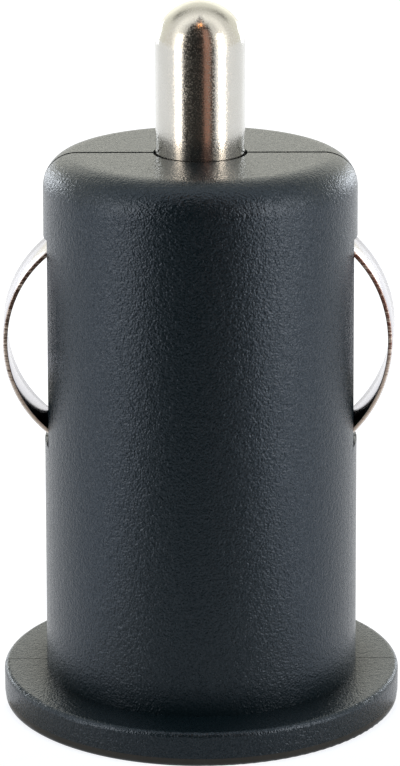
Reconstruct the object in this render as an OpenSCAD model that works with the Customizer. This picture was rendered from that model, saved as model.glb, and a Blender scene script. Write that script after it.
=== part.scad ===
// Car charger plug with one USB-A port: a barrel that fits a lighter socket, standing on its port face.
// The frame's origin is the centre of the port face, +Z points to the tip, and the shells part on Y = 0.

/* [Barrel] */
// Diameter of the barrel at the flange, which has to enter a 21 mm lighter socket
barrel_d = 20.9; // [20.7:0.05:21]
// Diameter of the barrel at the shoulder, as it narrows a little towards the tip
shoulder_d = 20.45; // [20.35:0.05:20.6]
// Height of the housing, from the port face to the flat end round the tip
housing_h = 37.3; // [36.9:0.1:38]
// Radius of the shoulder between the barrel and its flat end
shoulder_r = 2.2; // [1.5:0.1:2.6]
// Thickness of the barrel's wall below the shoulder
wall_t = 1.5; // [1.45:0.05:1.6]
// Thickness of the end wall that the tip passes through
end_wall_t = 1.9; // [1.7:0.1:2]
// Gap that shows along the parting line at the tip's end, where the shells gape a little
parting_gap = 0.35; // [0.1:0.05:0.4]

/* [Flange] */
// Diameter of the flange that stops the plug at the socket's mouth
flange_d = 26.6; // [26.3:0.1:27]
// Thickness of the flange, with its face plate
flange_t = 2.3; // [2.1:0.1:2.6]
// Radius along the flange's upper edge
flange_edge_r = 0.35; // [0.2:0.05:0.5]
// Thickness of the face plate round the port
plate_t = 0.55; // [0.5:0.05:0.7]

/* [Tip contact] */
// Diameter of the drawn tip contact
tip_d = 5.8; // [5.6:0.1:6]
// How far the tip stands out of the housing
tip_out = 9.9; // [9:0.1:10.5]
// Thickness of the tip's metal
tip_wall = 0.45; // [0.4:0.05:0.5]
// How far the tip goes in when it meets the socket's contact
tip_travel = 5; // [3:0.5:5]
// Wire of the tip's coil spring
coil_wire = 0.5; // [0.4:0.05:0.6]
// Turns of the tip's coil spring
coil_turns = 13; // [10:1:14]

/* [Side contacts] */
// Width of each bowed strip
strip_w = 4.8; // [4.4:0.1:4.8]
// Thickness of each bowed strip
strip_t = 0.3; // [0.25:0.05:0.35]
// Radius of the left bow, at the middle of the metal
left_bow_r = 7.7; // [7.6:0.05:7.8]
// Radius of the right bow, at the middle of the metal
right_bow_r = 8.35; // [8.25:0.05:8.45]
// Distance from the axis to the left bow's outer face
left_out = 13; // [12.95:0.05:13.1]
// Distance from the axis to the right bow's outer face
right_out = 12.7; // [12.6:0.05:12.8]
// Height of the bows' middle over the port face
bow_z = 25.1; // [25:0.05:25.2]
// Width of the slots that the strips come through
slot_w = 5.2; // [5.1:0.05:5.3]
// Height of the slots' lower ends over the port face
slot_low = 18.1; // [17.95:0.05:18.2]
// Height of the slots' upper ends over the port face
slot_high = 32; // [31.95:0.05:32.1]

/* [Port] */
// Width of the receptacle's metal shield
shield_w = 13.1; // [13:0.05:13.2]
// Height of the receptacle's metal shield
shield_h = 5.7; // [5.6:0.05:5.8]
// Depth of the receptacle
shield_l = 14; // [13:0.1:14.2]
// Thickness of the shield's sheet
shield_t = 0.3; // [0.25:0.05:0.35]

/* [Board] */
// Width of the circuit board
board_w = 14.8; // [14.4:0.1:15]
// Thickness of the circuit board
board_t = 1; // [0.8:0.1:1]

/* [Hidden] */
$fn = 96;
slim = 0.02;
past = 1;
barrel_r = shoulder_d / 2;
bore_r = barrel_r - wall_t;
bore_top = housing_h - end_wall_t;
flange_r = flange_d / 2;

// Parting line: the depth of its relief, and the pegs that hold the shells in line
lip_depth = 0.3;
flange_gap = 0.06;
peg_r = 0.45;
peg_l = 1.6;
peg_play = 0.05;
peg_x = (barrel_r + bore_r) / 2;
peg_spots = [[peg_x, 6.5], [peg_x, 14.5], [6.6, housing_h - end_wall_t / 2]];

// Tip, its hole and its guide
tip_r = tip_d / 2;
tip_top = housing_h + tip_out;
tip_hole_r = tip_r + 0.16;
rim_r = tip_r + 1.1;
rim_t = 1.1;
rim_top = bore_top - slim;
guide_gap = 0.15;
guide_r = rim_r + guide_gap;
guide_t = 0.8;
guide_bottom = rim_top - rim_t - tip_travel - 0.5;
coil_r = 2;

// Terminal that carries the coil
terminal_top = 26.4;
terminal_t = 0.4;
terminal_w = 5.2;
terminal_reach = 4.4;
terminal_foot = 1.6;
terminal_boss = [1.45, 0.8];

// Side contacts
bend_r = 0.8;
leg_x = sqrt(pow(bore_r - 0.05, 2) - pow(strip_w / 2, 2)) - strip_t / 2;
leg_low = 14.6;
leg_high = 34.6;
slot_step = 0.1;
slot_past = 0.4;
slot_flare = [1.2, 0.7];

// Receptacle
shield_z = 0.15;
shield_corner = 0.7;
aperture_play = 0.12;
tongue_w = 11.1;
tongue_t = 1.84;
tongue_y = -0.91;
tongue_front = 1.2;
block_z = 11.2;
block_back = shield_z + shield_l - 0.1;
contact_w = 1;
contact_t = 0.25;
contact_x = [-3.5, -1, 1, 3.5];
contact_y = tongue_y + tongue_t / 2;
tail_z = block_back + 0.3;

// Board, with its front face towards the port
board_y = shield_h / 2 + 0.05;
board_back = board_y + board_t;
board_low = 2.8;
board_high = 28.2;
lead_r = 0.3;
lead_hole_r = 0.45;
cap_in = [-2.45, 17.3];
cap_out = [3, 23.4];
lead_step = 1;
drum_at = [-2, 22.8];
drum_r = 2.6;
drum_core_r = 1.2;
drum_h = 4.6;
drum_end = 0.8;
rail_x = 5.5;
rail_w = 1;
finger_x = 7.25;
finger_w = 0.7;

// Light pipe and its lamp
pipe_y = 5.2;
pipe_r = 1;
pipe_top = 3.4;

resistor_x = [-3.6, -1.2, 1.2, 3.6];
resistor_z = 12.8;
ceramic_x = [-2, 2];
ceramic_z = 9.4;

// A box given by its lowest corner and its highest one
module block(low, high) {
    translate(low) cube(high - low);
}

// A cylinder that runs along +Y from the given point
module rod_y(at, r, l) {
    translate(at) rotate([-90, 0, 0]) cylinder(r = r, h = l);
}

// A flat outline with round corners
module round_rect(w, h, r) {
    square([w - 2 * r, h], center = true);
    square([w, h - 2 * r], center = true);
    for (sx = [-1, 1], sy = [-1, 1]) translate([sx * (w / 2 - r), sy * (h / 2 - r)]) circle(r = r);
}

// Half section of a disc or can whose upper outer corner is round
module round_top_section(r, low, high, corner) {
    translate([0, low]) square([r, high - low - corner]);
    translate([0, low]) square([r - corner, high - low]);
    translate([r - corner, high - corner]) circle(r = corner);
}

// Half section of the barrel, which narrows as far as its shoulder
module barrel_section(inset) {
    top = housing_h - inset;
    bend = top - shoulder_r;
    flat_r = barrel_r - inset - shoulder_r;
    polygon([
        [0, plate_t],
        [barrel_d / 2 - inset, plate_t],
        [barrel_r - inset, bend],
        [flat_r, top],
        [0, top]
    ]);
    translate([flat_r, bend]) circle(r = shoulder_r);
}

// The housing's outer form, shrunk by an inset
module housing_form(inset) {
    rotate_extrude() union() {
        barrel_section(inset);
        round_top_section(flange_r - inset, plate_t, flange_t - inset, flange_edge_r);
    }
}

// Relief along the parting line, closed at the flange and widest at the tip's end
module parting_relief() {
    low = flange_gap / 2;
    high = parting_gap / 2;
    top = housing_h + past;
    wedge = [[-low, -past], [low, -past], [low, flange_t], [high, top], [-high, top], [-low, flange_t]];
    difference() {
        translate([-flange_d, 0, 0]) rotate([90, 0, 90]) linear_extrude(2 * flange_d) polygon(wedge);
        housing_form(lip_depth);
    }
}

// What is hollow inside the housing, with the tip's guide left standing
module housing_hollow() {
    difference() {
        translate([0, 0, -past]) cylinder(r = bore_r, h = bore_top + past);
        difference() {
            translate([0, 0, guide_bottom]) cylinder(r = guide_r + guide_t, h = bore_top);
            cylinder(r = guide_r, h = housing_h);
        }
    }
    cylinder(r = tip_hole_r, h = housing_h + past);
}

// The two side slots that the bowed strips come through, longer on the inside than on the outside
module side_slots() {
    edge = barrel_r - slot_step;
    inner = bore_r - slot_past;
    section = [
        [flange_r, slot_low],
        [edge, slot_low],
        [inner, slot_low - slot_flare[0]],
        [inner, slot_high + slot_flare[1]],
        [edge, slot_high],
        [flange_r, slot_high]
    ];
    for (side = [0, 1]) mirror([side, 0, 0])
        translate([0, slot_w / 2, 0]) rotate([90, 0, 0]) linear_extrude(slot_w) polygon(section);
}

// Ledges inside the wall that keep the strips' lower legs at their height, on one side of Y = 0
module leg_ledges(side) {
    for (sx = [-1, 1]) intersection() {
        cylinder(r = bore_r + wall_t / 2, h = leg_low);
        scale([sx, side, 1]) block([6.8, 0.1, leg_low - 0.7], [barrel_r, 2.3, leg_low - 0.1]);
    }
}

// Half of the moulded housing, on one side of Y = 0, with its parting relief
module half_housing(side) {
    difference() {
        housing_form(0);
        housing_hollow();
        side_slots();
        mirror([0, side > 0 ? 0 : 1, 0])
            block([-flange_d, -flange_d, -past], [flange_d, 0, housing_h + past]);
        parting_relief();
    }
}

// Front shell: half the barrel and flange, with board fingers, a terminal shelf and six pegs
module front_shell() {
    color("#24282c") union() {
        half_housing(-1);
        leg_ledges(-1);
        for (sx = [-1, 1]) {
            intersection() {
                cylinder(r = bore_r + wall_t / 2, h = 11);
                translate([sx * finger_x, 0, 0])
                    block([-finger_w / 2, -barrel_r, 4], [finger_w / 2, board_y, 11]);
            }
            for (spot = peg_spots) rod_y([sx * spot[0], -peg_l, spot[1]], peg_r, 2 * peg_l);
        }
        intersection() {
            cylinder(r = bore_r + wall_t / 2, h = terminal_top);
            block([-3, -barrel_r, 24.9], [1, -terminal_reach + 0.2, terminal_top - terminal_t]);
        }
    }
}

// Rear shell: the other half, with two rails behind the board and a socket for each peg
module rear_shell() {
    color("#24282c") difference() {
        union() {
            half_housing(1);
            leg_ledges(1);
            for (sx = [-1, 1]) intersection() {
                cylinder(r = bore_r + wall_t / 2, h = 27);
                translate([sx * rail_x, 0, 0])
                    block([-rail_w / 2, board_back, 3], [rail_w / 2, barrel_r, 27]);
            }
        }
        for (sx = [-1, 1], spot = peg_spots)
            rod_y([sx * spot[0], -past, spot[1]], peg_r + peg_play, past + peg_l + 0.2);
    }
}

// Face plate: a thin disc with the port's aperture, and a spigot that holds the two shells together
module face_plate() {
    edge_r = 0.15;
    color("#1f2326") difference() {
        union() {
            rotate_extrude() mirror([0, 1]) translate([0, -plate_t])
                round_top_section(flange_r - 0.05, 0, plate_t, edge_r);
            difference() {
                cylinder(r = bore_r - 0.05, h = flange_t + 0.3);
                translate([0, 0, -past]) cylinder(r = bore_r - 1.1, h = flange_t + 2 * past);
            }
        }
        translate([0, 0, -past]) linear_extrude(2 * past)
            round_rect(shield_w + 2 * aperture_play, shield_h + 2 * aperture_play, shield_corner);
        translate([0, pipe_y, -past]) cylinder(r = pipe_r + 0.05, h = 2 * past);
    }
}

// Tip contact: a drawn cup with a domed end and an outward rim that the end wall holds in
module tip_contact() {
    low = rim_top - rim_t;
    dome_z = tip_top - tip_r;
    color("#d9d8d4") difference() {
        union() {
            translate([0, 0, low]) cylinder(r = tip_r, h = dome_z - low);
            translate([0, 0, low]) cylinder(r = rim_r, h = rim_t);
            translate([0, 0, dome_z]) sphere(r = tip_r);
        }
        translate([0, 0, low - past]) cylinder(r = tip_r - tip_wall, h = dome_z - low + past);
        translate([0, 0, dome_z]) sphere(r = tip_r - tip_wall);
    }
}

// Height of the coil's wire after a number of turns: the first and last turns lie closed
function coil_lift(turn, rise) =
    let (closed = 1, open_turns = coil_turns - 2 * closed, open_rise = rise - 2 * closed * coil_wire)
    turn < closed ? turn * coil_wire
    : turn > coil_turns - closed ? rise - (coil_turns - turn) * coil_wire
    : closed * coil_wire + (turn - closed) / open_turns * open_rise;

// One ring of points round the coil's wire
function coil_ring(turn, rise, sides) = [
    for (s = [0 : sides - 1])
        let (a = 360 * s / sides, r = coil_r + coil_wire / 2 * cos(a))
        [r * cos(360 * turn), r * sin(360 * turn), coil_lift(turn, rise) + coil_wire / 2 * sin(a)]
];

// Tip spring: a compression coil between the terminal and the inside of the tip's dome
module tip_spring() {
    sides = 8;
    steps = 16;
    rings = coil_turns * steps;
    inner_dome = tip_r - tip_wall;
    in_dome = sqrt(pow(inner_dome, 2) - pow(coil_r + coil_wire / 2, 2));
    coil_top = tip_top - tip_r + in_dome - coil_wire / 2 - slim;
    coil_low = terminal_top + coil_wire / 2 + slim;
    points = [for (i = [0 : rings]) each coil_ring(i / steps, coil_top - coil_low, sides)];
    faces = concat(
        [[for (s = [0 : sides - 1]) s]],
        [for (i = [0 : rings - 1], s = [0 : sides - 1]) let (a = i * sides, n = (s + 1) % sides)
            [a + s, a + sides + s, a + sides + n, a + n]],
        [[for (s = [sides - 1 : -1 : 0]) rings * sides + s]]
    );
    color("#b9b7b0") translate([0, 0, coil_low]) polyhedron(points = points, faces = faces, convexity = 10);
}

// Positive terminal: a bent plate on the board that carries the coil and centres it with a boss
module positive_terminal() {
    low = terminal_top - terminal_t;
    half = terminal_w / 2;
    color("#c8b273") union() {
        block([-half, -terminal_reach, low], [half, board_y, terminal_top]);
        block([-half, board_y - terminal_t, low], [half, board_y, terminal_top + terminal_foot]);
        translate([0, 0, low]) cylinder(r = terminal_boss[0], h = terminal_t + terminal_boss[1]);
    }
}

// Band of metal bent to a radius, between two angles
module bent_band(at, r, from, to) {
    far = 3 * r;
    translate(at) intersection() {
        difference() {
            circle(r = r + strip_t / 2);
            circle(r = r - strip_t / 2);
        }
        polygon([
            [0, 0],
            far * [cos(from), sin(from)],
            far * [cos((from + to) / 2), sin((from + to) / 2)],
            far * [cos(to), sin(to)]
        ]);
    }
}

// Section of one strip, in X and Z: a bow, and at each end a bend and a leg behind the barrel's wall
module strip_section(reach, bow_r) {
    bow_x = reach - strip_t / 2 - bow_r;
    bend_x = leg_x + bend_r;
    bend_dz = sqrt(pow(bow_r + bend_r, 2) - pow(bend_x - bow_x, 2));
    turn = acos((bend_x - bow_x) / (bow_r + bend_r));
    lap = 0.1;
    bent_band([bow_x, 0], bow_r, -turn - lap, turn + lap);
    for (upper = [0, 1]) mirror([0, 1 - upper]) {
        bent_band([bend_x, bend_dz], bend_r, 180 - lap, 180 + turn + lap);
        leg_l = (upper == 1 ? leg_high - bow_z : bow_z - leg_low) - bend_dz;
        translate([leg_x - strip_t / 2, bend_dz - slim / 10]) square([strip_t, leg_l]);
    }
}

// Side contact: the bowed strip that presses on the socket's wall
module side_contact(side, reach, bow_r) {
    color("#cfccc6") mirror([side > 0 ? 0 : 1, 0, 0])
        translate([0, strip_w / 2, bow_z]) rotate([90, 0, 0]) linear_extrude(strip_w)
            strip_section(reach, bow_r);
}

// Ground tab: a plate soldered to the board that a strip's lower leg rubs on
module ground_tab(side) {
    tab_y = strip_w / 2 + 0.03;
    color("#c8b273") scale([side, 1, 1]) union() {
        block([5.3, tab_y, 14.9], [8.1, tab_y + 0.3, 17.4]);
        block([5.3, tab_y, 14.9], [7, board_y, 17.4]);
    }
}

// Circuit board, with holes for the leads and slots for the shield's legs
module circuit_board() {
    color("#2f6b3c") difference() {
        block([-board_w / 2, board_y, board_low], [board_w / 2, board_back, board_high]);
        for (x = contact_x) translate([x, 0, tail_z])
            block([-0.45, board_y - past, -0.15], [0.45, board_back + past, contact_t + 0.15]);
        for (cap = [cap_in, cap_out], s = [-1, 1])
            rod_y([cap[0] + s * lead_step, board_y - past, cap[1]], lead_hole_r, board_t + 2 * past);
        for (sx = [-1, 1]) shield_leg(sx, 0.15);
    }
}

// One leg that anchors the shield in the board, grown by some play for its slot
module shield_leg(side, play) {
    scale([side, 1, 1]) block(
        [shield_w / 2 - shield_t - play, 1.6, 8.4 - play],
        [shield_w / 2 + play, board_back + 0.7, 9.9 + play]
    );
}

// Shield: the receptacle's folded metal box, with two spring fingers cut in each wide wall
module usb_shield() {
    finger = [1.5, 5.5];
    cut = 0.35;
    color("#c9c9c6") union() {
        difference() {
            translate([0, 0, shield_z]) linear_extrude(shield_l) difference() {
                round_rect(shield_w, shield_h, shield_corner);
                round_rect(shield_w - 2 * shield_t, shield_h - 2 * shield_t, shield_corner - shield_t);
            }
            for (sx = [-1, 1]) translate([sx * 3.1, 0, 3]) {
                for (edge = [-1, 1]) translate([edge * finger[0] / 2, 0, 0])
                    block([-cut / 2, -shield_h, 0], [cut / 2, shield_h, finger[1]]);
                block([-finger[0] / 2, -shield_h, finger[1] - cut], [finger[0] / 2, shield_h, finger[1]]);
            }
        }
        for (sx = [-1, 1]) shield_leg(sx, 0);
    }
}

// Insulator: the moulded block at the back of the port, with the tongue that carries the contacts
module usb_insulator() {
    inset = shield_t + 0.05;
    color("#f0efe9") difference() {
        union() {
            translate([0, 0, block_z]) linear_extrude(block_back - block_z)
                round_rect(shield_w - 2 * inset, shield_h - 2 * inset, shield_corner - shield_t);
            translate([0, contact_y, 0])
                block([-tongue_w / 2, -tongue_t, tongue_front], [tongue_w / 2, 0, block_z + 0.5]);
        }
        for (x = contact_x) {
            low = [x - contact_w / 2 - slim, contact_y - 0.1 - slim, tongue_front + 0.5];
            block(low, [x + contact_w / 2 + slim, contact_y + contact_t, block_back + past]);
            block(low, [x + contact_w / 2 + slim, contact_y + past, block_z]);
        }
    }
}

// One of the four contacts: a strip let into the tongue, and a tail that goes through the board
module usb_contact(index) {
    x = contact_x[index];
    color("#d8b154") union() {
        block(
            [x - contact_w / 2, contact_y - 0.1, tongue_front + 0.6],
            [x + contact_w / 2, contact_y + contact_t - 0.1, tail_z + contact_t]
        );
        block([x - 0.3, contact_y - 0.1, tail_z], [x + 0.3, board_back + 0.8, tail_z + contact_t]);
    }
}

// Converter chip: an eight-lead moulded package on the board's back
module converter_chip() {
    at = [-1.2, board_back, 24.6];
    half = [1.95, 2.45];
    color("#1c1c1e") translate(at) union() {
        block([-half[0], 0.15, -half[1]], [half[0], 1.65, half[1]]);
        for (sx = [0, 1], i = [-1.5 : 1.5]) mirror([sx, 0, 0]) translate([half[0], 0, i * 1.27]) {
            block([-0.1, 0.7, -0.2], [0.65, 0.9, 0.2]);
            block([0.45, 0, -0.2], [0.65, 0.9, 0.2]);
            block([0.45, 0, -0.2], [1.05, 0.2, 0.2]);
        }
    }
}

// Inductor core: a ferrite drum with a flange at each end
module inductor_core() {
    color("#4a4644") translate([drum_at[0], board_y - drum_h, drum_at[1]]) rotate([-90, 0, 0]) union() {
        cylinder(r = drum_r, h = drum_end);
        cylinder(r = drum_core_r, h = drum_h);
        translate([0, 0, drum_h - drum_end]) cylinder(r = drum_r, h = drum_end);
    }
}

// Inductor winding: the copper wound between the drum's flanges, with its turns' ridges
module inductor_winding() {
    wire = 0.25;
    rows = floor((drum_h - 2 * drum_end - 2 * slim) / (2 * wire));
    winding_h = drum_h - 2 * drum_end - 2 * slim;
    color("#b5652b") translate([drum_at[0], board_y - drum_h + drum_end + slim, drum_at[1]])
        rotate([-90, 0, 0]) rotate_extrude() union() {
            translate([drum_core_r + slim, 0]) square([drum_r - drum_core_r - 0.5, winding_h]);
            for (i = [0 : rows - 1]) translate([drum_r - 0.55, wire * (2 * i + 1)]) circle(r = wire);
        }
}

// Electrolytic capacitor: a can with a rolled neck, standing on two leads through the board
module can_capacitor(at, r, h, tint) {
    neck = 0.25;
    color(tint) union() {
        translate([at[0], board_y, at[1]]) rotate([90, 0, 0]) rotate_extrude() difference() {
            round_top_section(r, 0, h, 0.4);
            translate([r + neck, 1.6]) circle(r = 2 * neck);
        }
        for (s = [-1, 1]) rod_y([at[0] + s * lead_step, board_y - 0.5, at[1]], lead_r, board_t + 1.2);
    }
}

// Diode: a moulded two-terminal package on the board's front
module diode() {
    color("#1c1c1e") translate([2.9, board_y, 17.6]) union() {
        block([-1.3, -2.1, -2.1], [1.3, -0.1, 2.1]);
        for (sz = [-1, 1]) translate([0, 0, 2 * sz]) block([-0.7, -0.3, -0.5], [0.7, 0, 0.5]);
    }
}

// Indicator lamp on the board's back, over the light pipe
module indicator_led() {
    color("#e9f2ff") union() {
        block([-1, board_back, 3.7], [1, board_back + 1.6, 4.9]);
        block([-0.6, board_back + 0.4, 3.55], [0.6, board_back + 1.4, 3.75]);
    }
}

// Light pipe: a clear pin in the face plate, with a collar behind it
module light_pipe() {
    color("#dfe8ef") translate([0, pipe_y, 0]) union() {
        cylinder(r = pipe_r, h = pipe_top);
        translate([0, 0, plate_t + slim]) cylinder(r = pipe_r + 0.4, h = 0.6);
    }
}

// Chip part with two end caps, lying on the board's back
module chip_part(at, thick, tint) {
    color(tint) translate([at[0], board_back, at[1]]) union() {
        block([-0.6, 0, -0.75], [0.6, thick - 0.05, 0.75]);
        for (sz = [-1, 1]) translate([0, 0, 0.82 * sz]) block([-0.63, 0, -0.2], [0.63, thick, 0.2]);
    }
}

front_shell();
rear_shell();
face_plate();
tip_contact();
tip_spring();
positive_terminal();
side_contact(-1, left_out, left_bow_r);  // left_side_contact
side_contact(1, right_out, right_bow_r);  // right_side_contact
ground_tab(-1);  // left_ground_tab
ground_tab(1);  // right_ground_tab
circuit_board();
usb_shield();
usb_insulator();
for (i = [0 : 3]) usb_contact(i);
converter_chip();
inductor_core();
inductor_winding();
can_capacitor(cap_in, 2.4, 7.5, "#2b3350");  // input_capacitor
can_capacitor(cap_out, 2, 7, "#2b3350");  // output_capacitor
diode();
indicator_led();
light_pipe();
for (i = [0 : 3]) chip_part([resistor_x[i], resistor_z], 0.55, "#26292c");
for (i = [0 : 1]) chip_part([ceramic_x[i], ceramic_z], 1, "#a98d6a");
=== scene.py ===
import math
import bpy
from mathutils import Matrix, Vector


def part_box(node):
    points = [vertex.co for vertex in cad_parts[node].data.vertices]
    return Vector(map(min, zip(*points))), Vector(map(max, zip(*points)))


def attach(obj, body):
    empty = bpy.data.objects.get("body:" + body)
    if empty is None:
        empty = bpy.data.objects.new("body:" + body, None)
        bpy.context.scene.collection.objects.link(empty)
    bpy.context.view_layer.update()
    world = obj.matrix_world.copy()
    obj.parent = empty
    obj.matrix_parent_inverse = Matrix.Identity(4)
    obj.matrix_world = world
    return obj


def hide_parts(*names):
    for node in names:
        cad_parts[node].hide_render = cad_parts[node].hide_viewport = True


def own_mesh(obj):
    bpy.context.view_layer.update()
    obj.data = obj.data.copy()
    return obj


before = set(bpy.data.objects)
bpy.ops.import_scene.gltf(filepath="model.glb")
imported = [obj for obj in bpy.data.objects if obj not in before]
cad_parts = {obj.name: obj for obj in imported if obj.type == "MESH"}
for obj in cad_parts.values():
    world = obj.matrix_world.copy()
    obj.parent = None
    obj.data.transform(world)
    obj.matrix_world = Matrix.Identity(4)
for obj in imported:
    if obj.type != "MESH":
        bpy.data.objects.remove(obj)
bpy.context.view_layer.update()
mm = 0.001
print("frame loaded:", len(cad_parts), "nodes")


# colours are sRGB hex values, as a colour picker gives them
def linear(hexColour):
    channels = [int(hexColour[i:i + 2], 16) / 255 for i in (1, 3, 5)]
    return [c / 12.92 if c <= 0.04045 else ((c + 0.055) / 1.055) ** 2.4 for c in channels] + [1]


# adds a node with its settings, and links or fills its inputs
def addNode(tree, kind, inputs=None, **settings):
    node = tree.nodes.new("ShaderNode" + kind)
    for name, value in settings.items():
        setattr(node, name, value)
    for name, value in (inputs or {}).items():
        if isinstance(value, bpy.types.NodeSocket):
            tree.links.new(value, node.inputs[name])
        else:
            node.inputs[name].default_value = value
    return node


# result of a Math node, whose inputs are numbers or sockets
def compute(tree, operation, *values):
    return addNode(tree, "Math", dict(enumerate(values)), operation=operation).outputs[0]


# maps a value from one range to another
def spread(tree, value, source, target):
    limits = {1: source[0], 2: source[1], 3: target[0], 4: target[1]}
    return addNode(tree, "MapRange", {"Value": value, **limits}).outputs[0]


# blends two colours by a noise or a mask
def tint(tree, factor, first, second):
    mix = addNode(tree, "Mix", {0: factor}, data_type="RGBA")
    for socket, colour in ((6, first), (7, second)):
        if isinstance(colour, bpy.types.NodeSocket):
            tree.links.new(colour, mix.inputs[socket])
        else:
            mix.inputs[socket].default_value = linear(colour)
    return mix.outputs[2]


# starts a material, and gives its tree, its shader and its coordinates, of which Object is in metres
def newMaterial(name, **sockets):
    material = bpy.data.materials.new(name)
    material.use_nodes = True
    tree = material.node_tree
    shader = tree.nodes["Principled BSDF"]
    for socket, value in sockets.items():
        shader.inputs[socket.replace("_", " ")].default_value = value
    place = addNode(tree, "TexCoord")
    return material, tree, shader, place


# a noise whose grain has a real size in metres
def grain(tree, place, size, detail=2.0, stretch=(1, 1, 1)):
    shift = addNode(tree, "Mapping", {"Vector": place.outputs["Object"], "Scale": stretch})
    noise = addNode(tree, "TexNoise", {"Vector": shift.outputs[0], "Scale": 1 / size, "Detail": detail})
    return noise.outputs[0]


# presses a relief into a surface, to a real depth in metres
def emboss(tree, shader, relief, strength, depth):
    bump = addNode(tree, "Bump", {"Height": relief, "Strength": strength, "Distance": depth})
    tree.links.new(bump.outputs[0], shader.inputs["Normal"])


# distance from a level ring round the Z axis
def distanceToRing(tree, place, ring):
    flat = addNode(tree, "VectorMath", {0: place.outputs["Object"], 1: (1, 1, 0)}, operation="MULTIPLY")
    radius = addNode(tree, "VectorMath", {0: flat.outputs[0]}, operation="LENGTH").outputs["Value"]
    height = addNode(tree, "SeparateXYZ", {0: place.outputs["Object"]}).outputs["Z"]
    out = compute(tree, "SUBTRACT", radius, ring["radius"])
    up = compute(tree, "SUBTRACT", height, ring["height"])
    offset = addNode(tree, "CombineXYZ", {"X": out, "Y": up}).outputs[0]
    return addNode(tree, "VectorMath", {0: offset}, operation="LENGTH").outputs["Value"]


# spark-eroded ABS: the mould's eroded skin leaves fine blunt pits, which speckle a soft bluish sheen.
# In the corner between barrel and flange, where little light gets in, the reflection is masked down:
# painted shade
def sparkErodedAbs():
    look = {"colour": "#071218", "worn": "#0a151b", "sheen": "#cde2ff", "ior": 1.53}
    size = {"swell": 0.3 * mm, "broad": 0.13 * mm, "pit": 0.12 * mm, "patch": 3 * mm}
    relief = {"swell": 1.0, "broad": 2.3, "strength": 0.8, "depth": 0.025 * mm}
    pitted = {"range": (0.35, 0.65), "roughness": (0.21, 0.35), "glint": (0.36, 0.6)}
    corner = {"radius": 10.45 * mm, "height": 2.3 * mm, "reach": (0.2 * mm, 2.2 * mm), "left": 0.35}
    material, tree, shader, place = newMaterial(
        "spark_eroded_abs", IOR=look["ior"], Specular_Tint=linear(look["sheen"]))
    swell = grain(tree, place, size["swell"], detail=0.0)
    broad = grain(tree, place, size["broad"], detail=1.0)
    pits = grain(tree, place, size["pit"])
    patches = grain(tree, place, size["patch"], detail=3.0)
    sandy = compute(tree, "MULTIPLY_ADD", broad, relief["broad"], pits)
    height = compute(tree, "MULTIPLY_ADD", swell, relief["swell"], sandy)
    emboss(tree, shader, height, relief["strength"], relief["depth"])
    tree.links.new(tint(tree, patches, look["colour"], look["worn"]), shader.inputs["Base Color"])
    roughness = spread(tree, pits, pitted["range"], pitted["roughness"])
    tree.links.new(roughness, shader.inputs["Roughness"])
    # painted shade: the specular level is cut to about a third at the barrel's foot and recovers over 2 mm
    paintedCornerShade = spread(tree, distanceToRing(tree, place, corner), corner["reach"], (corner["left"], 1))
    glint = spread(tree, pits, pitted["range"], pitted["glint"])
    tree.links.new(compute(tree, "MULTIPLY", glint, paintedCornerShade), shader.inputs["Specular IOR Level"])
    return material


# satin ABS: the face plate comes from a smoother mould, with only a faint grain
def satinAbs():
    look = {"colour": "#0f1417", "light": "#13181b", "ior": 1.53, "roughness": (0.28, 0.36)}
    relief = {"grain": 0.12 * mm, "range": (0.3, 0.7), "strength": 0.7, "depth": 0.012 * mm}
    material, tree, shader, place = newMaterial("satin_abs", IOR=look["ior"])
    noise = grain(tree, place, relief["grain"])
    emboss(tree, shader, noise, relief["strength"], relief["depth"])
    tree.links.new(tint(tree, noise, look["colour"], look["light"]), shader.inputs["Base Color"])
    tree.links.new(spread(tree, noise, relief["range"], look["roughness"]), shader.inputs["Roughness"])
    return material


# nickel-plated brass: tumbled with small media, so it mirrors through a skin of tiny shallow dents
def polishedNickel():
    look = {"colour": "#cac9c5", "warm": "#c2c0ba", "cloud": 1.5 * mm, "roughness": (0.12, 0.3)}
    relief = {"dent": 0.085 * mm, "range": (0.4, 0.65), "strength": 0.8, "depth": 0.006 * mm}
    material, tree, shader, place = newMaterial("polished_nickel", Metallic=1.0)
    dents = grain(tree, place, relief["dent"])
    clouds = grain(tree, place, look["cloud"])
    emboss(tree, shader, dents, relief["strength"], relief["depth"])
    tree.links.new(tint(tree, clouds, look["colour"], look["warm"]), shader.inputs["Base Color"])
    tree.links.new(spread(tree, dents, relief["range"], look["roughness"]), shader.inputs["Roughness"])
    return material
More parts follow.
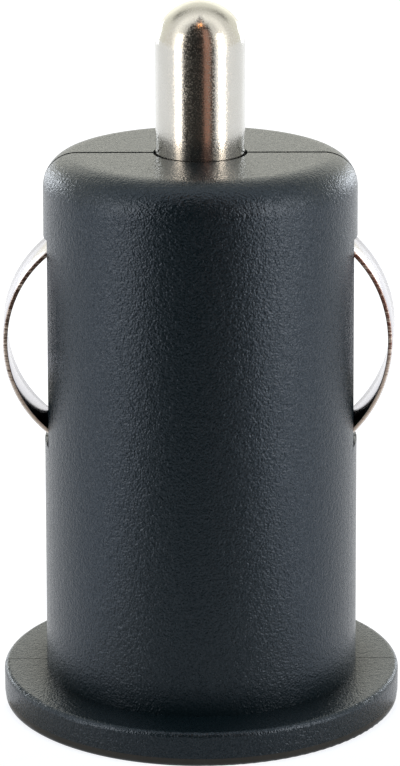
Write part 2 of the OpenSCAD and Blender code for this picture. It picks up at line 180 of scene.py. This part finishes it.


# spring strip under nickel plating: bright rolled faces, and sheared edges that show the brown core in fine
# steps, with painted light making the edges paler in the lower half
def platedSpringStrip(side, core):
    look = {"face": "#b6b4ba", "edge": "#e2dbd6", "turn": (0.75, 0.95), "roughness": (0.16, 0.45)}
    steps = {"size": 0.12 * mm, "stretch": (0.15, 0.15, 1), "range": (0.4, 0.6)}
    rolled = {"size": 0.3 * mm, "stretch": (1, 3, 0.2), "weight": 0.06}
    paintedLightBelow = {"height": (21.5 * mm, 28 * mm), "shift": (0.2, -0.12)}
    relief = {"strength": 0.8, "depth": 0.008 * mm}
    material, tree, shader, place = newMaterial("plated_spring_strip_" + side, Metallic=1.0)
    normal = addNode(tree, "SeparateXYZ", {0: place.outputs["Normal"]})
    sheared = spread(tree, compute(tree, "ABSOLUTE", normal.outputs["Y"]), look["turn"], (0, 1))
    stepped = grain(tree, place, steps["size"], stretch=steps["stretch"])
    lines = grain(tree, place, rolled["size"], stretch=rolled["stretch"])
    height = addNode(tree, "SeparateXYZ", {0: place.outputs["Object"]}).outputs["Z"]
    # painted light: the sheared edges are painted paler below the bow's middle and browner above it
    platingAndPaintedLight = compute(tree, "ADD", stepped, spread(tree, height, paintedLightBelow["height"], paintedLightBelow["shift"]))
    edge = tint(tree, spread(tree, platingAndPaintedLight, steps["range"], (0, 1)), core, look["edge"])
    tree.links.new(tint(tree, sheared, look["face"], edge), shader.inputs["Base Color"])
    tree.links.new(spread(tree, sheared, (0, 1), look["roughness"]), shader.inputs["Roughness"])
    cut = compute(tree, "MULTIPLY", stepped, sheared)
    height = compute(tree, "MULTIPLY_ADD", lines, rolled["weight"], cut)
    emboss(tree, shader, height, relief["strength"], relief["depth"])
    return material


# plain sheet or wire metal: rolled or drawn lines along one axis, on a tone that varies a little
def rolledMetal(name, colour, dark, roughness, stretch):
    lined = {"size": 0.15 * mm, "range": (0.3, 0.7), "rise": 0.1, "strength": 0.4, "depth": 0.003 * mm}
    material, tree, shader, place = newMaterial(name, Metallic=1.0)
    lines = grain(tree, place, lined["size"], detail=3.0, stretch=stretch)
    emboss(tree, shader, lines, lined["strength"], lined["depth"])
    tree.links.new(tint(tree, lines, colour, dark), shader.inputs["Base Color"])
    uneven = spread(tree, lines, lined["range"], (roughness, roughness + lined["rise"]))
    tree.links.new(uneven, shader.inputs["Roughness"])
    return material


# moulded, cast or fired stuff: a mottled tone and a faint grain of a real size
def mottled(name, colour, dark, size, roughness, **sockets):
    mottle = {"range": (0.3, 0.7), "rise": 0.12, "strength": 0.4, "depth": 0.03 * size}
    material, tree, shader, place = newMaterial(name, **sockets)
    noise = grain(tree, place, size, detail=3.0)
    emboss(tree, shader, noise, mottle["strength"], mottle["depth"])
    tree.links.new(tint(tree, noise, colour, dark), shader.inputs["Base Color"])
    uneven = spread(tree, noise, mottle["range"], (roughness, roughness + mottle["rise"]))
    tree.links.new(uneven, shader.inputs["Roughness"])
    return material


def dress(node, material):
    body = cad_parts[node]
    body.data.materials.clear()
    body.data.materials.append(material)


# middle and half size of a node along X, Y or Z
def middleOf(node, axis):
    low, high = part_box(node)
    return (low[axis] + high[axis]) / 2, (high[axis] - low[axis]) / 2


# a part with metal ends: grey tin over a length at both ends along one axis, the body's stuff between
def dressWithTinnedEnds(node, material, axis, length):
    tin = "#c4c2bd"
    middle, half = middleOf(node, "XYZ".index(axis))
    tree = material.node_tree
    shader = tree.nodes["Principled BSDF"]
    place = addNode(tree, "TexCoord")
    along = addNode(tree, "SeparateXYZ", {0: place.outputs["Object"]}).outputs[axis]
    away = compute(tree, "ABSOLUTE", compute(tree, "SUBTRACT", along, middle))
    ends = compute(tree, "GREATER_THAN", away, half - length)
    body = shader.inputs["Base Color"].links[0].from_socket
    tree.links.new(tint(tree, ends, body, tin), shader.inputs["Base Color"])
    tree.links.new(ends, shader.inputs["Metallic"])
    dress(node, material)


# housing, and the glossy clear light pipe in its face
shellAbs = sparkErodedAbs()
for node in ("front_shell", "rear_shell"):
    dress(node, shellAbs)
dress("face_plate", satinAbs())
acrylic = mottled(
    "clear_acrylic", "#e9eef0", "#dfe6e9",
    size=0.4 * mm, roughness=0.08, IOR=1.49, Transmission_Weight=0.85)
dress("light_pipe", acrylic)

# coil: bright drawn wire, on a mesh of its own
dress("tip_spring", rolledMetal("music_wire", "#a8a69f", "#8b8982", roughness=0.22, stretch=(1, 1, 0.4)))
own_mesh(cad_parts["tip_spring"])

# terminals: yellow strip brass with dull rolling lines
brass = rolledMetal("rolled_brass", "#c6a45c", "#b08f4c", roughness=0.24, stretch=(0.1, 1, 1))
for node in ("positive_terminal", "left_ground_tab", "right_ground_tab"):
    dress(node, brass)

# port: grey tinned shield, off-white tongue and bright gold contacts
gold = rolledMetal("gold_flashed_bronze", "#d9b155", "#c79c43", roughness=0.16, stretch=(1, 1, 0.1))
for number in range(1, 5):
    dress(f"usb_contact_{number}", gold)
tinned = rolledMetal("tinned_sheet_steel", "#c4c3bf", "#aeada9", roughness=0.2, stretch=(1, 1, 0.08))
dress("usb_shield", tinned)
nylon = mottled("nylon_insulator", "#e4e2d8", "#d8d5c9", size=0.3 * mm, roughness=0.4, IOR=1.53)
dress("usb_insulator", nylon)

# board: glossy green mask, with a dull grey choke, a copper winding and a clear lamp on it
mask = mottled("green_solder_mask", "#1f5a2f", "#19492a", size=0.25 * mm, roughness=0.3, IOR=1.5)
dress("circuit_board", mask)
ferrite = mottled("sintered_ferrite", "#3a3735", "#2c2a29", size=0.1 * mm, roughness=0.55, IOR=1.6)
dress("inductor_core", ferrite)
copper = rolledMetal("enamelled_copper", "#b4622d", "#8f4a20", roughness=0.28, stretch=(1, 0.2, 1))
dress("inductor_winding", copper)
epoxy = mottled("clear_epoxy", "#eef1ee", "#e3e7e2", size=0.3 * mm, roughness=0.15, IOR=1.54)
dress("indicator_led", epoxy)

# parts with metal ends: matt black packages, blue sleeved cans, dark resistors and tan ceramic chips
for node, name, axis, length in (
        ("converter_chip", "epoxy_moulding", "X", 1.0 * mm),
        ("diode", "diode_moulding", "Z", 0.4 * mm)):
    mould = mottled(name, "#1b1b1d", "#242426", size=0.08 * mm, roughness=0.5, IOR=1.55)
    dressWithTinnedEnds(node, mould, axis, length)
for use in ("input", "output"):
    sleeve = mottled(
        "capacitor_sleeve_" + use, "#232b45", "#1b2238", size=0.5 * mm, roughness=0.25, IOR=1.5)
    dressWithTinnedEnds(use + "_capacitor", sleeve, axis="Y", length=0.35 * mm)
for number in range(1, 5):
    film = mottled(f"thick_film_{number}", "#1e2022", "#27292b", size=0.1 * mm, roughness=0.35, IOR=1.5)
    dressWithTinnedEnds(f"resistor_{number}", film, axis="Z", length=0.4 * mm)
for number in range(1, 3):
    chip = mottled(f"bare_ceramic_{number}", "#a38862", "#957a56", size=0.1 * mm, roughness=0.4, IOR=1.6)
    dressWithTinnedEnds(f"ceramic_capacitor_{number}", chip, axis="Z", length=0.4 * mm)
print("CAD nodes dressed")


# applies a piece's place, so that its object sits at the origin, and smooths all but its sharp edges
def finishPiece(piece, material):
    sharpFrom = math.radians(30)
    bpy.ops.object.transform_apply(location=True, rotation=True, scale=True)
    bpy.ops.object.shade_smooth_by_angle(angle=sharpFrom)
    piece.data.materials.clear()
    piece.data.materials.append(material)


def selectFaces(piece, test):
    bpy.ops.object.mode_set(mode="EDIT")
    bpy.ops.mesh.select_all(action="DESELECT")
    bpy.ops.object.mode_set(mode="OBJECT")
    for face in piece.data.polygons:
        face.select = test(face)
    bpy.ops.object.mode_set(mode="EDIT")


# tip contact: a drawn bullet with a rim that the end wall holds in
tip = {"segments": 96, "rings": 48, "wall": 0.45 * mm, "rim": 1.1 * mm, "rimHeight": 1.1 * mm}


def drawnTip():
    low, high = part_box("tip_contact")
    radius = high[0] - tip["rim"]
    domeZ = high[2] - radius
    rimTop = low[2] + tip["rimHeight"]
    bpy.ops.object.select_all(action="DESELECT")
    bpy.ops.mesh.primitive_uv_sphere_add(
        segments=tip["segments"], ring_count=tip["rings"], radius=radius, location=(0, 0, domeZ))
    piece = bpy.context.object
    piece.name = "drawn_tip"
    selectFaces(piece, lambda face: face.center.z < 0)
    bpy.ops.mesh.delete(type="FACE")
    bpy.ops.mesh.select_non_manifold()
    bpy.ops.mesh.extrude_region_move(TRANSFORM_OT_translate={"value": (0, 0, rimTop - domeZ)})
    bpy.ops.mesh.extrude_region_move()
    outward = (radius + tip["rim"]) / radius
    bpy.ops.transform.resize(value=(outward, outward, 1), center_override=(0, 0, rimTop))
    bpy.ops.mesh.extrude_region_move(TRANSFORM_OT_translate={"value": (0, 0, low[2] - rimTop)})
    bpy.ops.object.mode_set(mode="OBJECT")
    wall = piece.modifiers.new("wall", "SOLIDIFY")
    wall.thickness = tip["wall"]
    wall.offset = -1
    wall.use_even_offset = True
    bpy.ops.object.modifier_apply(modifier=wall.name)
    finishPiece(piece, polishedNickel())
    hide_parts("tip_contact")
    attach(piece, "tip")


drawnTip()
print("tip made")


# side contacts: one strip each, a leg, a bend, the bow, a bend and a leg
strip = {
    "thickness": 0.3 * mm,
    "bowRadius": {"left_side_contact": 7.7 * mm, "right_side_contact": 8.35 * mm},
    "bendRadius": 0.8 * mm,
    "bowHeight": 25.1 * mm,
    "bowSteps": 64,
    "bendSteps": 10,
    "weld": 0.001 * mm,
    "edge": {"round": 0.08 * mm, "segments": 3, "sharpFrom": 60},
    "twist": {"left_side_contact": -0.05, "right_side_contact": 0.09},
    "core": {"left_side_contact": "#5e4d45", "right_side_contact": "#7c5c54"},
}


def bowedStrip(node, body):
    low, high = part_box(node)
    side = 1 if high[0] > 0 else -1
    reach = max(abs(low[0]), abs(high[0]))
    legX = min(abs(low[0]), abs(high[0])) + strip["thickness"] / 2
    bowX = reach - strip["thickness"] / 2 - strip["bowRadius"][node]
    bendX = legX + strip["bendRadius"]
    apart = strip["bowRadius"][node] + strip["bendRadius"]
    turn = math.acos((bendX - bowX) / apart)
    bendZ = apart * math.sin(turn)
    middle = strip["bowHeight"]
    bpy.ops.object.select_all(action="DESELECT")
    bpy.ops.mesh.primitive_plane_add(size=1, location=(side * legX, 0, low[2]))
    piece = bpy.context.object
    piece.name = node.replace("side_contact", "bowed_strip")
    piece.scale = (strip["thickness"], high[1] - low[1], 1)
    bpy.ops.object.transform_apply(location=True, rotation=True, scale=True)
    bpy.ops.object.mode_set(mode="EDIT")
    bpy.ops.mesh.select_all(action="SELECT")
    bpy.ops.mesh.extrude_region_move(TRANSFORM_OT_translate={"value": (0, 0, middle - bendZ - low[2])})
    for x, z, angle, steps in (
            (bendX, middle - bendZ, -turn, strip["bendSteps"]),
            (bowX, middle, 2 * turn, strip["bowSteps"]),
            (bendX, middle + bendZ, -turn, strip["bendSteps"])):
        bpy.ops.mesh.spin(steps=steps, angle=side * angle, center=(side * x, 0, z), axis=(0, 1, 0))
    bpy.ops.mesh.extrude_region_move(TRANSFORM_OT_translate={"value": (0, 0, high[2] - middle - bendZ)})
    bpy.ops.mesh.select_all(action="SELECT")
    bpy.ops.mesh.remove_doubles(threshold=strip["weld"])
    bpy.ops.mesh.normals_make_consistent(inside=False)
    bpy.ops.object.mode_set(mode="OBJECT")
    edges = piece.modifiers.new("edges", "BEVEL")
    edges.width = strip["edge"]["round"]
    edges.segments = strip["edge"]["segments"]
    edges.angle_limit = math.radians(strip["edge"]["sharpFrom"])
    bpy.ops.object.modifier_apply(modifier=edges.name)
    twistBow(piece, strip["twist"][node], middle, bendZ)
    finishPiece(piece, platedSpringStrip(node.split("_")[0], strip["core"][node]))
    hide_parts(node)
    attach(piece, body)


# turns the bow a little about the upright axis, most at its middle, as a strip sits when it has been used
def twistBow(piece, slope, middle, half):
    for vertex in piece.data.vertices:
        height = (vertex.co.z - middle) / half
        amount = max(0, 1 - height * height)
        vertex.co.x += slope * amount * vertex.co.y


bowedStrip("left_side_contact", "left_spring")
bowedStrip("right_side_contact", "right_spring")
print("side contacts made")


# camera: on the photograph's line of sight
view = {
    "place": (-0.05 * mm, -205.8 * mm, 82.3 * mm), "pitch": 73.60, "roll": -0.13,
    "lens": 152.57, "sensor": 36, "clip": 10 * mm,
}
camera = bpy.data.cameras.new("camera")
camera.lens = view["lens"]
camera.sensor_width = view["sensor"]
camera.clip_start = view["clip"]
cameraObject = bpy.data.objects.new("camera", camera)
bpy.context.collection.objects.link(cameraObject)
cameraObject.location = view["place"]
cameraObject.rotation_mode = "ZYX"
cameraObject.rotation_euler = (math.radians(view["pitch"]), 0, math.radians(view["roll"]))
bpy.context.scene.camera = cameraObject


# studio stuff: a plain colour, which can glow
def plainMaterial(name, colour, roughness, glow=0.0):
    material, _, shader, _ = newMaterial(name, Roughness=roughness, Emission_Strength=glow)
    shader.inputs["Base Color"].default_value = linear(colour)
    shader.inputs["Emission Color"].default_value = linear(colour)
    return material


# a flat sheet of the studio. The camera sees only the floor, and the plug mirrors every sheet
def stageSheet(name, corners, material, seen=False):
    mesh = bpy.data.meshes.new(name)
    mesh.from_pydata(corners, [], [range(len(corners))])
    sheet = bpy.data.objects.new(name, mesh)
    mesh.materials.append(material)
    bpy.context.collection.objects.link(sheet)
    sheet.visible_camera = seen


# corners of a level square whose middle is over the Y axis
def square(half, y, height):
    turns = ((-1, -1), (1, -1), (1, 1), (-1, 1))
    return [(across * half, y + along * half, height) for across, along in turns]


# floor: pale paper that glows, a hair under the port face
floor = {"size": 6.0, "gap": 0.02 * mm, "colour": "#898a8c", "roughness": 0.9, "glow": 3.3}


# matt white paper: an even white ground, and clear from below, where the port face is looked at
def mattPaper():
    paper = plainMaterial("matt_white_paper", floor["colour"], floor["roughness"], floor["glow"])
    tree = paper.node_tree
    under = addNode(tree, "NewGeometry").outputs["Backfacing"]
    clear = addNode(tree, "BsdfTransparent").outputs[0]
    sides = addNode(tree, "MixShader", {0: under, 1: tree.nodes["Principled BSDF"].outputs[0], 2: clear})
    tree.links.new(sides.outputs[0], tree.nodes["Material Output"].inputs["Surface"])
    return paper


def paperFloor():
    stageSheet("floor", square(floor["size"] / 2, 0, -floor["gap"]), mattPaper(), seen=True)


# softboxes: a tall one in front and a low one behind on each side, with their power on the left and right
sideBox = {
    "place": (127 * mm, -82 * mm, 65 * mm), "size": (34 * mm, 130 * mm),
    "power": {-1: 0.09, 1: 0.12}, "colour": "#ffeedb",
}
rearBox = {
    "place": (145 * mm, 204 * mm, 50 * mm), "size": (80 * mm, 55 * mm),
    "power": {-1: 0.082, 1: 0.088}, "colour": "#f4f9ff",
}


def softbox(name, box, side):
    x, y, z = box["place"]
    light = bpy.data.lights.new(name, "AREA")
    light.shape = "RECTANGLE"
    light.size, light.size_y = box["size"]
    light.energy = box["power"][side]
    light.color = linear(box["colour"])[:3]
    holder = bpy.data.objects.new(name, light)
    bpy.context.collection.objects.link(holder)
    holder.location = (side * x, y, z)
    holder.rotation_euler = (math.pi / 2, 0, math.atan2(-y, -side * x) - math.pi / 2)
    holder.visible_camera = False


# point at an angle to the right of the camera's line, a distance from the plug's axis
def around(angle, distance, height):
    return (distance * math.sin(math.radians(angle)), -distance * math.cos(math.radians(angle)), height)


# dark cards: one lies on the floor and wraps the flange, and one with an arched top stands behind the
# camera. Angles are in degrees from the camera's line
darkCard = {
    "turn": -3.2, "halfAngle": 40.5, "far": 0.45, "near": 13.4 * mm, "wrap": 80, "wrapStep": 10,
    "lift": 0.1 * mm, "height": 0.98, "rise": 0.16, "archSteps": 12, "colour": "#161616",
    "foot": {"reach": (-110 * mm, -12 * mm), "colour": "#d2d2d2"},
}


# faded velvet: dark far from the plug and paler at its foot
def fadedVelvet():
    foot = darkCard["foot"]
    material, tree, shader, place = newMaterial("faded_velvet", Roughness=1.0)
    along = addNode(tree, "SeparateXYZ", {0: place.outputs["Object"]}).outputs["Y"]
    paleness = spread(tree, along, foot["reach"], (0, 1))
    tree.links.new(tint(tree, paleness, darkCard["colour"], foot["colour"]), shader.inputs["Base Color"])
    return material


def darkCards():
    turn, half, far, lift = (darkCard[key] for key in ("turn", "halfAngle", "far", "lift"))
    wrap = range(-darkCard["wrap"], darkCard["wrap"] + 1, darkCard["wrapStep"])
    lying = [around(angle, darkCard["near"], lift) for angle in wrap]
    lying += [around(turn + half, far, lift), around(turn - half, far, lift)]
    stageSheet("dark_card_low", lying, fadedVelvet())
    standing = [around(turn - half, far, 0), around(turn + half, far, 0)]
    for step in range(darkCard["archSteps"] + 1):
        arc = math.pi * step / darkCard["archSteps"]
        top = darkCard["height"] * (1 - darkCard["rise"] + darkCard["rise"] * math.sin(arc))
        standing.append(around(turn + half * math.cos(arc), far, top))
    stageSheet("dark_card_high", standing, plainMaterial("black_velvet", darkCard["colour"], 1.0))


# warm card: its reflection is the brown stripe on the tip
warmCard = {"distance": 0.12, "angles": (10, 26), "foot": 0.8 * mm, "height": 0.19, "colour": "#ad8172"}


def brownCard():
    first, last = warmCard["angles"]
    low = [around(angle, warmCard["distance"], warmCard["foot"]) for angle in (first, last)]
    high = [around(angle, warmCard["distance"], warmCard["height"]) for angle in (last, first)]
    stageSheet("warm_card", low + high, plainMaterial("brown_board", warmCard["colour"], 1.0))


# arm: it reaches over the plug, and a small warm lamp hangs under it, which is the glint on the dome
arm = {"halfWidth": 0.15, "y": (-0.3, 0.04), "height": 0.8, "colour": "#9c9c9c"}
lamp = {"y": -0.18, "height": 0.4, "half": 27 * mm, "colour": "#f0a060", "roughness": 0.5, "glow": 5.0}


def overheadArm():
    wide, height = arm["halfWidth"], arm["height"]
    foot, end = arm["y"]
    stageSheet(
        "overhead_arm", [(-wide, foot, height), (wide, foot, height), (0, end, height)],
        plainMaterial("grey_arm", arm["colour"], 1.0))
    glass = plainMaterial("warm_glass", lamp["colour"], lamp["roughness"], lamp["glow"])
    stageSheet("warm_lamp", square(lamp["half"], lamp["y"], lamp["height"]), glass)


# light tent: brighter low behind the plug and along an arch that crosses its roof, and dim in a gap behind
# the arch. The ranges are of a direction's X, Y or Z, from -1 to 1
tent = {
    "front": "#fffcf4", "back": "#fffdef", "strength": 1.04, "turn": (0.1, 0.6),
    "low": {
        "gain": 0.6, "from": (0, 0.15), "to": (0.4, 0.6), "above": 0.2, "side": (0.35, 0.6), "aside": 0.1},
    "arch": {"gain": 0.5, "lean": -0.4, "middle": -0.44, "reach": (0.1, 0.2)},
    "gap": {
        "gain": -0.62, "middle": 0.45, "reach": (0.08, 0.2), "from": (0.5, 0.65), "side": (0.2, 0.5),
        "central": 0.5},
}


def lightTent():
    world = bpy.data.worlds.new("light_tent")
    bpy.context.scene.world = world
    world.use_nodes = True
    tree = world.node_tree
    direction = addNode(tree, "SeparateXYZ", {0: addNode(tree, "TexCoord").outputs["Generated"]})
    x, y, z = (direction.outputs[axis] for axis in "XYZ")
    low, arch, gap = (tent[part] for part in ("low", "arch", "gap"))

    def near(value, part):
        away = compute(tree, "ABSOLUTE", compute(tree, "SUBTRACT", value, part["middle"]))
        return spread(tree, away, part["reach"], (1, 0))

    def both(first, second):
        return compute(tree, "MULTIPLY", first, second)

    behind = spread(tree, y, tent["turn"], (0, 1))
    aside = compute(tree, "ABSOLUTE", x)
    level = both(spread(tree, z, low["from"], (0, 1)), spread(tree, z, low["to"], (1, low["above"])))
    lowPart = both(both(behind, level), spread(tree, aside, low["side"], (1, low["aside"])))
    archPart = near(compute(tree, "MULTIPLY_ADD", z, arch["lean"], y), arch)
    gapPart = both(near(y, gap), spread(tree, z, gap["from"], (0, 1)))
    gapPart = both(gapPart, spread(tree, aside, gap["side"], (gap["central"], 1)))
    strength = tent["strength"]
    for amount, part in ((lowPart, low), (archPart, arch), (gapPart, gap)):
        strength = compute(tree, "MULTIPLY_ADD", amount, part["gain"], strength)
    background = tree.nodes["Background"]
    tree.links.new(tint(tree, behind, tent["front"], tent["back"]), background.inputs["Color"])
    tree.links.new(strength, background.inputs["Strength"])


paperFloor()
darkCards()
brownCard()
overheadArm()
for side in (-1, 1):
    softbox(f"side_box_{side}", sideBox, side)
    softbox(f"rear_box_{side}", rearBox, side)
lightTent()
bpy.context.scene.view_settings.view_transform = "Standard"
print("studio built")
